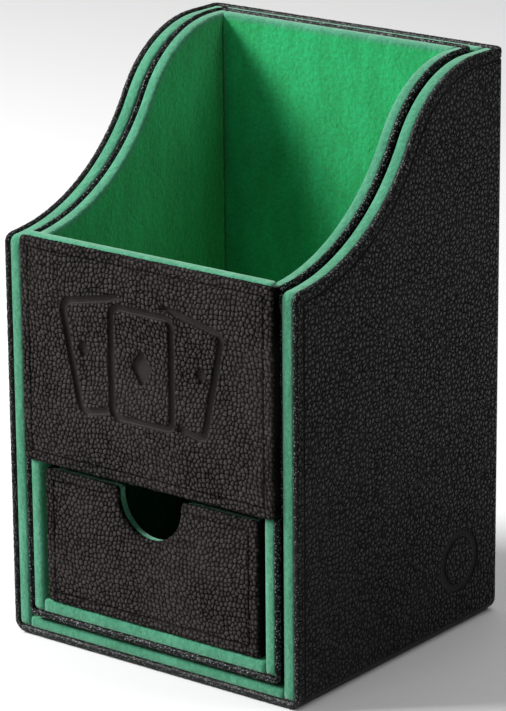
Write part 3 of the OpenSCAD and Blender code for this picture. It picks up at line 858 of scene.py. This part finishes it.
def plate(name, outline, y_front, y_back, fold_r, spacing, cell, amp, seed, motif=None, groove=2.55, nodes=(), body="box", top_depth=9.0):
    pts, nor, ab, q_of = [], [], [], []
    s = Sheet()
    inner_q = fold_r
    base, ring0 = outline(inner_q), outline(0.0)
    d = ring0 - base
    L = np.linalg.norm(d, axis=1, keepdims=True)
    # outward direction of each outline point, from nearby points on the outline
    c = outline(0.0)
    tn = np.roll(c, -1, 0) - np.roll(c, 1, 0)
    tn /= np.linalg.norm(tn, axis=1, keepdims=True) + 1e-12
    out_n = np.c_[tn[:, 1], -tn[:, 0]]
    rows = []
    depth_side = y_back - (y_front + fold_r)
    top_w = np.clip((out_n[:, 1] - 0.5) / 0.4, 0, 1) if top_depth < 9 else np.zeros(len(c))
    for t in np.linspace(1, 0, max(3, int(depth_side / 0.35)))[:-1]:
        dt = depth_side * (1 - top_w) + min(depth_side, top_depth) * top_w
        rows.append((c, y_front + fold_r + dt * t, out_n, np.zeros(1), base + out_n * (fold_r * math.pi / 2 + depth_side * t), 0.0))
    for th in np.linspace(0, math.pi / 2, 7):
        q = fold_r * (1 - math.sin(th))
        y = y_front + fold_r * (1 - math.sin(th)) if False else y_front + fold_r - fold_r * math.sin(th)
        qq = fold_r - fold_r * math.cos(th)
        rows.append((outline(qq), y, out_n * math.cos(th), np.array([math.sin(th)]), base + out_n * fold_r * (math.pi / 2 - th), qq))
    for q in np.arange(fold_r + 0.22, 3.9, 0.22):
        o = outline(q)
        rows.append((o, y_front, out_n * 0, np.ones(1), o, q))
    all_p, all_n, all_ab, all_q = [], [], [], []
    for o, y, n2, ny, abp, q in rows:
        m = len(o)
        all_p.append(np.c_[o[:, 0], np.zeros(m) + y, o[:, 1]])
        all_n.append(np.c_[n2[:, 0], np.full(m, -float(ny[0])), n2[:, 1]])
        all_ab.append(abp)
        all_q.append(np.full(m, q))
    m = len(c)
    lastrow = rows[-1][0]
    v, t = fill(lastrow, [], spacing)
    qv = rows[-1][5] + poly_dist(v, lastrow)
    all_p.append(np.c_[v[:, 0], np.full(len(v), y_front), v[:, 1]])
    all_n.append(np.c_[np.zeros(len(v)), -np.ones(len(v)), np.zeros(len(v))])
    all_ab.append(v)
    all_q.append(qv)
    P0, NN, AB, Q = map(np.concatenate, (all_p, all_n, all_ab, all_q))
    NN /= np.linalg.norm(NN, axis=1, keepdims=True) + 1e-12
    dash = 0.55 + 0.45 * np.sin(AB.sum(1) * 4.2) * np.sin(AB[:, 0] * 1.1 + AB[:, 1] * 0.7)
    g = np.clip((0.3 - np.abs(Q - groove)) / 0.2, 0, 1) * dash
    if motif is None:
        g *= np.clip((np.hypot(AB[:, 0], AB[:, 1] - DT + NOTCH_H - NOTCH_R) - NOTCH_R - 3.2) / 0.8, 0, 1)
    mask = np.zeros(len(Q))
    deepness = g * 0.2
    if motif is not None:
        mo = motif(AB[:, 0], AB[:, 1])
        mask = np.maximum(mask, mo)
        deepness = np.maximum(deepness, mo * 0.42)
    peb = pebbles(AB[:, 0], AB[:, 1], cell, seed)
    # painted shade: the plate's side faces and the pressed groove get low pebble height, so the shader paints them with
    # the dark valley colour
    on_side = np.clip((P0[:, 1] - (y_front + fold_r)) / 0.6, 0, 1)
    fine = 0.8 + 0.2 * np.clip((Q - 0.2) / 0.6, 0, 1)
    hgt = peb * (1 - mask) * (1 - 0.9 * on_side) * fine * (1 - 0.8 * g)
    slow = 0.05 * np.sin(AB[:, 0] * 0.31 + seed) * np.sin(AB[:, 1] * 0.27)
    off = amp * hgt - deepness + slow * np.clip((Q - 1) / 4, 0, 1) - amp * 0.45
    PP = P0 + NN * off[:, None]
    k = 0
    s.v.append(PP)
    s.n = len(PP)
    i = np.arange(m)
    j = (i + 1) % m
    for r in range(len(rows) - 1):
        a, b = r * m, (r + 1) * m
        s.f.append(np.c_[a + i, a + j, b + j, b + i])
    s.f.append(t + len(rows) * m)
    # the pebble attribute also drives the painted valley shade in the shader
    return build(s, name, body, "panel", nodes, ref=(0, 40, (P0[:, 2].min() + P0[:, 2].max()) / 2), attrs={"pebble": hgt, "flat": mask}, solid=0.3, merge=0.02)


SP = 0.21
plate("front_panel_leather_cover", rect_outline(-PX, PX, PZ, PT - 0.5, 1.2, SP * 1.1), PY, PBY, 0.5, SP, 1.2, 0.58, 3, motif=card_motif, nodes=["front_panel_leather"], top_depth=0.35)
plate("drawer_front_leather_cover", notch_outline(DX, DZ, DT, 0.8, SP * 1.1), DY, DBY + 0.25, 0.45, SP, 1.2, 0.54, 9, nodes=["drawer_front_leather"], body="drawer")


# ---------------------------------------------------------------- drawer suede
def drawer_top_path(q, lim):
    """the top edge of the drawer's front with its notch, from right to left"""
    z1 = DT
    zc = z1 - NOTCH_H + NOTCH_R
    nr, nk2 = max(NOTCH_C - q, 0.05), max(NOTCH_C, q)
    R = NOTCH_R + q
    n = 16
    a = np.c_[np.linspace(lim, NOTCH_R + nk2, n), np.full(n, z1 - q)]
    b = arc(NOTCH_R + nk2, z1 - nk2, nr, 90, 180, 7)
    c = arc(0, zc, R, 0, -180, 41)
    m = np.array([-1, 1])
    half = np.r_[a, b[1:]]
    return np.r_[half, c, (half * m)[::-1]]


s = Sheet()
rows = []
wd = DIY - DBY
for a, d in band(wd) + [(wd, 2.6)]:
    lim = DXB if a < wd - 0.75 else DXI + 0.2
    p = drawer_top_path(d * 0.85 + 0.08, lim)
    rows.append(np.c_[p[:, 0], np.full(len(p), DBY + a), p[:, 1]])
s.rows(rows, depth=[d for _, d in band(wd)] + [2.6])
top = rows[-1][:, [0, 2]]
x1 = DXI + 0.2
n = 24
out = np.r_[top, np.c_[np.full(n, -x1), np.linspace(top[-1, 1], DZI - 0.1, n)][1:], np.c_[np.linspace(-x1, x1, 40), np.full(40, DZI - 0.1)][1:], np.c_[np.full(n, x1), np.linspace(DZI - 0.1, top[0, 1], n)][1:-1]]
v, t = fill(out, [], 2.2)
s.tris(np.c_[v[:, 0], np.full(len(v), DIY), v[:, 1]], t)
build(s, "drawer_front_suede_cover", "drawer", "suede", ["drawer_front_suede"], ref=(0, -20, 60), outward=True, solid=0.3)

EDGE = nbox("drawer_left_suede")[1][2]
wside = DXB - DXI
for m, sd in ((1, "right"), (-1, "left")):
    s = Sheet()
    t_ = np.r_[0, 0.15, 0.4, 0.8]
    y = np.r_[DIY + t_, np.linspace(DIY + 1.4, DBB - 1.4, 50), (DBB - t_)[::-1]]
    e = np.clip(1 - np.minimum(y - DIY, DBB - y) / 0.9, 0, 1) ** 2 * 0.35
    rows = []
    for a, d in band(wside) + [(wside, 3), (wside, 12), (wside, 22), (wside, EDGE + 0.3 - DZI)]:
        yy = y if a < wside - 0.05 else np.clip(y, DIY - 0.1, DBK + 0.15)
        rows.append(np.c_[np.full(len(y), m * (DXB - a)), yy, EDGE + 0.3 - d - e])
    s.rows(rows, depth=[d for _, d in band(wside)] + [3, 12, 22, 30])
    build(s, f"drawer_{sd}_suede_cover", "drawer", "suede", [f"drawer_{sd}_suede"], ref=(0, 40, 30), outward=False, solid=0.3)
s = strip(band(wside), -DXI + 0.03, DXI - 0.03, lambda a, d: (DBB - a, EDGE + 0.3 - d), [(wside, 3), (wside, 12), (wside, 22), (wside, EDGE + 0.3 - DZI)], ends=0.35)
build(s, "drawer_back_suede_cover", "drawer", "suede", ["drawer_back_suede"], ref=(0, 40, 30), outward=False, solid=0.3)
s = Sheet()
t_ = np.r_[0, 0.15, 0.4, 0.8]
x = np.r_[-DXI - 0.1 + t_, np.linspace(-DXI + 1.4, DXI - 1.4, 30), (DXI + 0.1 - t_)[::-1]]
y = np.r_[DIY - 0.1 + t_, np.linspace(DIY + 1.4, DBK - 1.4, 34), (DBK + 0.1 - t_)[::-1]]
rows = []
for yy in y:
    e = np.minimum(np.minimum(x - x[0], x[-1] - x), min(yy - y[0], y[-1] - yy))
    rows.append(np.c_[x, np.full(len(x), yy), DZI - 0.4 * np.exp(-(e / 0.4) ** 2)])
s.rows(rows)
build(s, "drawer_floor_suede_cover", "drawer", "suede", ["drawer_floor_suede"], ref=(0, 40, 0), outward=True, solid=0.3)

# ---------------------------------------------------------------- CAD nodes that stay
for n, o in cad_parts.items():
    if o.hide_render:
        continue
    key = "magnet" if "magnet" in n else "wrap" if ("wrap" in n or "leather" in n) else "board"
    o.data.materials.clear()
    o.data.materials.append(MATS[key])
    if n == "drawer_wrap":
        b = o.modifiers.new("soft_edges", "BEVEL")
        b.width, b.segments, b.limit_method, b.angle_limit = 0.0002, 2, "ANGLE", math.radians(50)

# ---------------------------------------------------------------- floor, light, camera
def floor_material():
    m, nt, bs = new_mat("floor_m")
    k = N(nt)
    co = k.coords()
    k.link(k.mix(k.ramp(k.noise(co, 3.0, 2.0), 0.3, 0.7), (0.67, 0.67, 0.67), (0.69, 0.69, 0.69)), bs.inputs["Base Color"])
    bs.inputs["Roughness"].default_value = 0.75
    bs.inputs["Specular IOR Level"].default_value = 0.1
    return m


me = bpy.data.meshes.new("floor")
S = 4.0
me.from_pydata([(-S, -S, 0), (S, -S, 0), (S, S, 0), (-S, S, 0)], [], [(0, 1, 2, 3)])
floor = bpy.data.objects.new("floor", me)
floor.location = (0, 0, -0.0003)
me.materials.append(floor_material())
bpy.context.scene.collection.objects.link(floor)

scene = bpy.context.scene
world = bpy.data.worlds.new("studio")
scene.world = world
world.use_nodes = True
world.node_tree.nodes["Background"].inputs[0].default_value = (1, 1, 1, 1)
world.node_tree.nodes["Background"].inputs[1].default_value = 0.11


def area(name, loc, size, power, target=(0, 0, 0.07), color=(1, 1, 1)):
    L = bpy.data.lights.new(name, "AREA")
    L.shape = "RECTANGLE"
    L.size, L.size_y = size
    L.energy = power
    L.color = color
    o = bpy.data.objects.new(name, L)
    o.location = loc
    o.rotation_euler = (Vector(target) - Vector(loc)).to_track_quat("-Z", "Y").to_euler()
    scene.collection.objects.link(o)
    return o


area("key", (-0.78, -0.56, 0.74), (0.42, 0.42), 27)
area("top", (-0.1, 0.35, 1.4), (1.5, 1.5), 9.5, target=(-0.1, 0.35, 0))
area("fill", (-0.1, -1.1, 0.75), (0.5, 0.5), 1.6)
area("rim", (0.6, 0.25, 0.75), (0.3, 0.4), 1.8)

cd = bpy.data.cameras.new("camera")
cam = bpy.data.objects.new("camera", cd)
scene.collection.objects.link(cam)
scene.camera = cam
az, el, roll = math.radians(37.794), math.radians(17.496), math.radians(-0.487)
tx, ty, dist = -0.131, 3.448, 904.064
back = Vector((math.sin(az) * math.cos(el), -math.cos(az) * math.cos(el), math.sin(el)))
fwd = -back
right = fwd.cross(Vector((0, 0, 1))).normalized()
up = right.cross(fwd)
R_ = right * math.cos(roll) + up * math.sin(roll)
U_ = -right * math.sin(roll) + up * math.cos(roll)
C = Vector((0, 40, 72)) + back * dist - R_ * tx - U_ * ty
cam.matrix_world = Matrix((
    (R_.x, U_.x, back.x, C.x / 1000), (R_.y, U_.y, back.y, (C.y + FY) / 1000), (R_.z, U_.z, back.z, C.z / 1000), (0, 0, 0, 1)))
cd.sensor_fit = "AUTO"
cd.sensor_width = 36
cd.lens = 3752.3 / 711 * 36
cd.clip_start, cd.clip_end = 0.05, 20

scene.view_settings.view_transform = "Standard"
scene.view_settings.look = "None"
scene.view_settings.exposure = 0.0
scene.view_settings.gamma = 1.0
